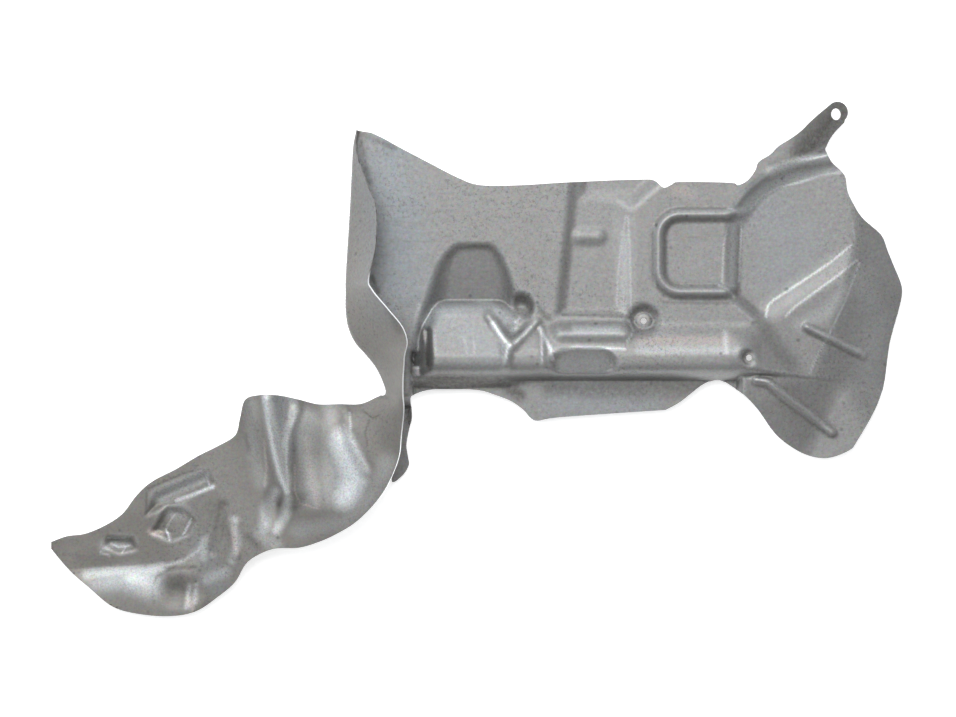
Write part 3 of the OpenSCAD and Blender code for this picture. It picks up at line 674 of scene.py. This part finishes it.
# Pale strokes on the folded side: painted highlights on the lobe's streaks, dish, pocket rim and bosses,
# with some wear
SIDE_WEAR_AND_HIGHLIGHTS = [
    ([(266, 398), (270, 420), (274, 446), (280, 472), (288, 492)], 3.4, 0.9),
    ([(270, 398), (274, 430), (279, 455), (286, 480)], 8, 0.4),
    ([(283, 396), (285, 430), (286, 460)], 9, 0.35),
    ([(299, 410), (292, 425), (288, 440), (287, 462), (289, 493)], 1.3, 0.65),
    ([(292, 398), (297, 412)], 6, 0.3),
    ([(252, 405), (254, 440), (262, 480)], 9, 0.22),
    ([(308, 420), (306, 455), (310, 495)], 15, 0.3),
    ([(330, 405), (325, 440), (330, 500)], 10, 0.2),
    ([(300, 530), (345, 522), (375, 492), (388, 462)], 10, 0.22),
    ([(340, 441), (351, 463), (356, 478), (346, 498)], 13, 0.85),
    ([(344, 437), (356, 455), (365, 472)], 1.2, 0.5),
    ([(350, 413), (352, 440)], 1, 0.5),
    ([(345, 425), (349, 437), (357, 447)], 1, 0.5),
    ([(341, 428), (338, 436)], 1.2, 0.5),
    ([(264, 530), (266, 510), (276, 492)], 6, 0.55),
    ([(289, 496), (286, 515), (276, 532)], 5, 0.5),
    ([(262, 535), (275, 545)], 8, 0.3),
    ([(262, 518), (263, 535)], 1.2, 0.4),
    ([(291, 505), (284, 522)], 1, 0.4),
    ([(86, 576), (116, 573), (147, 572), (160, 569)], 6, 0.45),
    ([(120, 576), (148, 577), (158, 571)], 3.4, 0.35),
    ([(132, 580), (150, 588)], 13, 0.6),
    ([(160, 568), (184, 561), (198, 551), (207, 537)], 1.6, 0.35),
    ([(95, 585), (140, 582)], 9, 0.3),
    ([(189, 586), (186, 608)], 2.6, 0.45),
    ([(196, 584), (194, 603)], 2.6, 0.4),
    ([(205, 580), (225, 572)], 6, 0.35),
    ([(204, 540), (203, 558)], 4, 0.3),
    ([(165, 530), (169, 540)], 1.4, 0.8),
    ([(191, 519), (183, 535)], 1.2, 0.6),
    ([(176, 511), (166, 527)], 1, 0.5),
    ([(156, 496), (203, 476)], 7, 0.5),
    ([(170, 512), (182, 512)], 8, 0.35),
    ([(104, 547), (124, 545)], 6, 0.4),
    ([(233, 520), (238, 543), (232, 560)], 4.5, 0.4),
    ([(176, 501), (190, 496), (205, 490), (213, 487)], 1.9, 0.9),
    ([(205, 473), (209, 485)], 1.1, 0.6),
    ([(106, 538), (126, 538)], 0.8, 0.4),
    ([(99, 553), (108, 556)], 1.2, 0.5),
    ([(121, 553), (124, 549)], 1.2, 0.6),
]
# Dark strokes on the folded side: stains, and painted shade in the lobe's pocket and beside its cut edge
SIDE_STAINS_AND_SHADE = [
    ([(256, 425), (258, 460)], 3, 0.2),
    ([(353, 430), (362, 449), (374, 468)], 3.4, 0.35),
    ([(365, 412), (373, 418), (380, 415)], 1, 0.6),
    ([(370, 420), (366, 432), (368, 445)], 1, 0.5),
    ([(246, 435), (249, 450)], 2.5, 0.5),
    ([(279, 495), (279, 505)], 3.6, 0.6),
    ([(248, 536), (258, 545)], 4, 0.5),
    ([(215, 505), (225, 530)], 10, 0.3),
    ([(168, 590), (178, 588)], 12, 0.35),
    ([(153, 602), (151, 590), (156, 577), (170, 569), (195, 567)], 2, 0.55),
    ([(148, 489), (165, 481), (185, 473), (203, 469)], 1.1, 0.6),
    ([(209, 470), (213, 482)], 1.1, 0.5),
    ([(146, 493), (145, 515)], 1.2, 0.5),
    ([(153, 513), (163, 504), (177, 505), (190, 515)], 1.2, 0.3),
    ([(107, 541), (121, 539)], 1, 0.9),
    ([(385, 290), (400, 330)], 5, 0.3),
    ([(80, 560), (110, 560)], 8, 0.25),
]
# Painted pinkish highlights, on the half tube's top and on the lobe
PINK_HIGHLIGHTS = [
    ([(640, 341), (730, 340)], 5, 0.5),
    ([(149, 532), (160, 535)], 3, 0.9),
    ([(233, 527), (236, 556)], 2.6, 0.6),
    ([(265, 440), (267, 467), (265, 485)], 1.6, 0.5),
    ([(307, 440), (312, 480), (318, 505)], 4, 0.4),
    ([(295, 465), (295, 490), (300, 503), (318, 508)], 1, 0.6),
    ([(188, 600), (192, 612)], 3, 0.5),
    ([(677, 189), (690, 194)], 7, 0.3),
]
# Painted bluish reflection of the bright space above, on flats and lit slopes
SKY_REFLECTION_STROKES = [
    ([(385, 165), (395, 230), (400, 290)], 32, 0.8),
    ([(440, 315), (490, 350)], 20, 0.4),
    ([(770, 215), (800, 240), (780, 270)], 30, 0.4),
    ([(280, 400), (290, 440)], 12, 0.5),
    ([(345, 450), (350, 490)], 16, 0.8),
    ([(110, 580), (150, 580)], 14, 0.7),
    ([(200, 545), (215, 585)], 12, 0.5),
    ([(560, 400), (650, 405)], 16, 0.5),
]


def picked(px, py):
    """Place on the part under a place in the photograph."""
    return ((px - PHOTO_HOLE[0]) * PHOTO_SCALE, (PHOTO_HOLE[1] - py) * PHOTO_SCALE)


def strokes(x, y, marks):
    value = 0 * x
    for path, width, strength in marks:
        away = off_path(x, y, [picked(*v) for v in path])
        value = np.maximum(value, strength * ease(1 - away / width))
    return value


# Materials

class Graph:
    """A material's nodes; add() makes a node, fills its sockets and returns its output."""

    def __init__(self, name):
        self.material = bpy.data.materials.new(name)
        self.material.use_nodes = True
        self.tree = self.material.node_tree
        self.tree.nodes.clear()

    def add(self, kind, sockets=None, out=0, **settings):
        node = self.tree.nodes.new(kind)
        for key, value in settings.items():
            setattr(node, key, value)
        for key, value in (sockets or {}).items():
            if isinstance(value, bpy.types.NodeSocket):
                self.tree.links.new(value, node.inputs[key])
            else:
                node.inputs[key].default_value = value
        return node.outputs[out] if node.outputs else node

    def math(self, operation, a, b=0.0):
        return self.add("ShaderNodeMath", {0: a, 1: b}, operation=operation)

    def span(self, value, low, high, to_low=0.0, to_high=1.0):
        return self.add("ShaderNodeMapRange", {"Value": value, "From Min": low, "From Max": high,
                                               "To Min": to_low, "To Max": to_high})

    def blend(self, amount, a, b, kind="MIX"):
        return self.add("ShaderNodeMix", {0: amount, 6: a, 7: b}, out=2,
                        data_type="RGBA", blend_type=kind)

    def noise(self, where, scale, detail=2.0, rough=0.5, stretch=None):
        if stretch:
            where = self.add("ShaderNodeMapping", {"Vector": where, "Scale": stretch[0],
                                                   "Rotation": (0, 0, stretch[1])})
        return self.add("ShaderNodeTexNoise", {"Vector": where, "Scale": scale, "Detail": detail,
                                               "Roughness": rough})


def attribute(graph, name):
    return graph.add("ShaderNodeAttribute", out="Fac", attribute_name=name)


def specks(graph, where, scale, radius):
    """Soft dark dots of many sizes, one to a cell."""
    cell = graph.tree.nodes.new("ShaderNodeTexVoronoi")
    cell.inputs["Scale"].default_value = scale
    graph.tree.links.new(where, cell.inputs["Vector"])
    size = graph.math("POWER", graph.math("FRACT", graph.math("MULTIPLY", cell.outputs["Color"], 7.3)), 2.0)
    edge = graph.math("MULTIPLY", size, radius)
    return graph.span(graph.math("SUBTRACT", edge, cell.outputs["Distance"]), -0.04, 0.12)


def sheet_material():
    g = Graph("worn_sheet_painted_light")
    where = g.add("ShaderNodeTexCoord", out="Object")
    crease, side = attribute(g, "crease"), attribute(g, "side")
    clouds = g.noise(where, 14, 3, 0.6)
    mottle = g.noise(where, 420, 3, 0.65)
    grain = g.noise(where, 1100, 2)
    tints = g.add("ShaderNodeTexNoise", {"Vector": where, "Scale": 650, "Detail": 2.0}, out=1)
    patches = g.span(g.noise(where, 22, 2), 0.38, 0.62, 0.25, 1.0)
    small = g.math("MULTIPLY", g.span(g.noise(where, 560, 4, 0.8), 0.53, 0.64), patches)
    large = specks(g, where, 120, 0.17)
    streaks = g.noise(where, 30, 4, 0.7, ((1, 22, 4), 0.9))
    scratches = g.noise(where, 45, 5, 0.75, ((1, 40, 3), -0.5))
    # Colour: grey sheet, with a painted bluish reflection in parts, warmer and darker on the folded side as
    # painted shade for its steep wall
    cloudy = g.span(clouds, 0.35, 0.65)
    flat = g.blend(cloudy, (0.23, 0.228, 0.224, 1), (0.266, 0.267, 0.265, 1))
    # Painted reflection: the bluish tint of the bright space above
    flat = g.blend(attribute(g, "sky_reflection"), flat, (0.25, 0.274, 0.296, 1))
    # Painted shade: the folded side's warmer, darker tone
    shaded_side_tone = g.blend(cloudy, (0.17, 0.161, 0.147, 1), (0.213, 0.206, 0.194, 1))
    shaded_side_tone = g.blend(attribute(g, "sky_reflection"), shaded_side_tone, (0.22, 0.237, 0.25, 1))
    colour = g.blend(side, flat, shaded_side_tone)
    colour = g.blend(g.span(mottle, 0.35, 0.65, 0.0, 0.35), colour, (0.15, 0.15, 0.148, 1))
    colour = g.blend(g.span(streaks, 0.56, 0.72, 0.0, 0.2), colour, (0.14, 0.128, 0.11, 1))
    # Stains and painted shade, then wear and painted highlights
    dark_stain_and_shade = g.math("MULTIPLY", attribute(g, "stain_and_shade"), g.span(mottle, 0.3, 0.6, 0.6, 1.0))
    # Painted shade: concave creases darkened
    crease_shade = g.math("MULTIPLY", g.span(crease, -0.01, -0.06), g.span(mottle, 0.3, 0.6, 0.1, 0.25))
    dark_stain_and_shade = g.math("MAXIMUM", dark_stain_and_shade, crease_shade)
    colour = g.blend(dark_stain_and_shade, colour, (0.07, 0.063, 0.052, 1))
    # Painted highlight: pinkish sheen
    colour = g.blend(g.math("MULTIPLY", attribute(g, "pink_highlight"), g.span(grain, 0.3, 0.6, 0.4, 1.0)),
                     colour, (0.42, 0.355, 0.335, 1))
    # Wear and painted highlights: convex creases and the pale strokes lightened
    pale_wear_and_highlight = g.math("MULTIPLY", g.span(crease, 0.008, 0.05), 0.12)
    pale_wear_and_highlight = g.math("MULTIPLY", g.math("MAXIMUM", pale_wear_and_highlight, attribute(g, "wear_and_highlight")),
                    g.span(grain, 0.3, 0.6, 0.55, 1.0))
    colour = g.blend(pale_wear_and_highlight, colour, (0.56, 0.585, 0.6, 1))
    colour = g.blend(g.math("MULTIPLY", small, 0.5), colour, (0.06, 0.06, 0.06, 1))
    colour = g.blend(g.math("MULTIPLY", large, 0.6), colour, (0.045, 0.043, 0.04, 1))
    colour = g.blend(g.span(scratches, 0.68, 0.76, 0.0, 0.25), colour, (0.5, 0.51, 0.52, 1))
    colour = g.blend(0.28, colour, tints, "OVERLAY")
    rough = g.span(clouds, 0.3, 0.7, 0.48, 0.58)
    rough = g.math("ADD", rough, g.math("MULTIPLY", dark_stain_and_shade, 0.2))
    rough = g.math("SUBTRACT", rough, g.math("MULTIPLY", pale_wear_and_highlight, 0.1))
    waves = g.noise(where, 38, 2, 0.5)
    bump = g.add("ShaderNodeBump", {"Height": waves, "Strength": 0.35, "Distance": 0.0012})
    bump = g.add("ShaderNodeBump", {"Height": mottle, "Strength": 0.25, "Distance": 0.00012, "Normal": bump})
    shader = g.add("ShaderNodeBsdfPrincipled", {"Base Color": colour, "Metallic": 0.7,
                                                "Roughness": rough, "Normal": bump})
    g.add("ShaderNodeOutputMaterial", {"Surface": shader})
    return g.material


def edge_material():
    g = Graph("cut_edge")
    where = g.add("ShaderNodeTexCoord", out="Object")
    wear = g.noise(where, 300, 3, 0.6)
    colour = g.blend(g.span(wear, 0.35, 0.65), (0.12, 0.115, 0.11, 1), (0.25, 0.245, 0.24, 1))
    # Painted highlight: the glint on the side wall's free edge
    colour = g.blend(attribute(g, "glint"), colour, (0.9, 0.91, 0.92, 1))
    rough = g.span(wear, 0.3, 0.7, 0.3, 0.45)
    shader = g.add("ShaderNodeBsdfPrincipled", {"Base Color": colour, "Metallic": 0.9,
                                                "Roughness": rough})
    g.add("ShaderNodeOutputMaterial", {"Surface": shader})
    return g.material


# Studio

VIEW_CENTRE = Vector((-0.2154, -0.147, HOLE_DROP * MM))
VIEW_WIDTH = 0.5736
CAMERA_HEIGHT = 4.0
FLOOR_GAP = 0.0004


def camera():
    data = bpy.data.cameras.new("camera")
    data.sensor_width = 36
    data.lens = data.sensor_width * CAMERA_HEIGHT / VIEW_WIDTH
    data.clip_end = 20
    obj = bpy.data.objects.new("camera", data)
    obj.location = VIEW_CENTRE + Vector((0, 0, CAMERA_HEIGHT))
    bpy.context.scene.collection.objects.link(obj)
    bpy.context.scene.camera = obj


def area_light(name, place_at, size, power, colour):
    data = bpy.data.lights.new(name, "AREA")
    data.shape = "DISK"
    data.size = size
    data.energy = power
    data.color = colour
    obj = bpy.data.objects.new(name, data)
    obj.location = VIEW_CENTRE + Vector(place_at)
    obj.rotation_euler = (VIEW_CENTRE - obj.location).to_track_quat("-Z", "Y").to_euler()
    bpy.context.scene.collection.objects.link(obj)


def world():
    """Studio walls: bright above and to the upper left, dim to the lower right."""
    studio = bpy.data.worlds.new("studio")
    studio.use_nodes = True
    tree = studio.node_tree
    tree.nodes.clear()
    where = tree.nodes.new("ShaderNodeTexCoord")
    dot = tree.nodes.new("ShaderNodeVectorMath")
    dot.operation = "DOT_PRODUCT"
    dot.inputs[1].default_value = (-0.5, 0.85, 0.15)
    ramp = tree.nodes.new("ShaderNodeValToRGB")
    ramp.color_ramp.elements[0].position = 0.1
    ramp.color_ramp.elements[0].color = (0.3, 0.295, 0.285, 1)
    ramp.color_ramp.elements[1].position = 0.95
    ramp.color_ramp.elements[1].color = (1.3, 1.33, 1.37, 1)
    shift = tree.nodes.new("ShaderNodeMapRange")
    shift.inputs["From Min"].default_value = -1
    background = tree.nodes.new("ShaderNodeBackground")
    output = tree.nodes.new("ShaderNodeOutputWorld")
    tree.links.new(where.outputs["Generated"], dot.inputs[0])
    tree.links.new(dot.outputs["Value"], shift.inputs["Value"])
    tree.links.new(shift.outputs[0], ramp.inputs[0])
    tree.links.new(ramp.outputs[0], background.inputs["Color"])
    tree.links.new(background.outputs[0], output.inputs["Surface"])
    bpy.context.scene.world = studio


def floor(height):
    mesh = bpy.data.meshes.new("floor")
    r = 6.0
    mesh.from_pydata([(-r, -r, height), (r, -r, height), (r, r, height), (-r, r, height)],
                     [], [(0, 1, 2, 3)])
    obj = bpy.data.objects.new("floor", mesh)
    bpy.context.scene.collection.objects.link(obj)
    g = Graph("pale_floor")
    shader = g.add("ShaderNodeBsdfPrincipled", {"Base Color": (0.93, 0.93, 0.93, 1),
                                                "Roughness": 0.8, "Specular IOR Level": 0.2,
                                                "Emission Color": (1, 1, 1, 1),
                                                "Emission Strength": 0.5})
    g.add("ShaderNodeOutputMaterial", {"Surface": shader})
    mesh.materials.append(g.material)


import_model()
cad_box = [list(v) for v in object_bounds()]
camera()
world()
area_light("key", (-0.2, 0.8, 1.9), 1.3, 20, (1, 0.99, 0.97))
area_light("fill", (-1.1, 0.5, 2.0), 1.4, 8, (0.97, 0.98, 1))
piece = sheet()
for material in (sheet_material(), edge_material()):
    piece.data.materials.append(material)
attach(piece, "root")
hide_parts("heat_shield")
floor(cad_box[0][2] - FLOOR_GAP)
bpy.context.scene.view_settings.view_transform = "Standard"
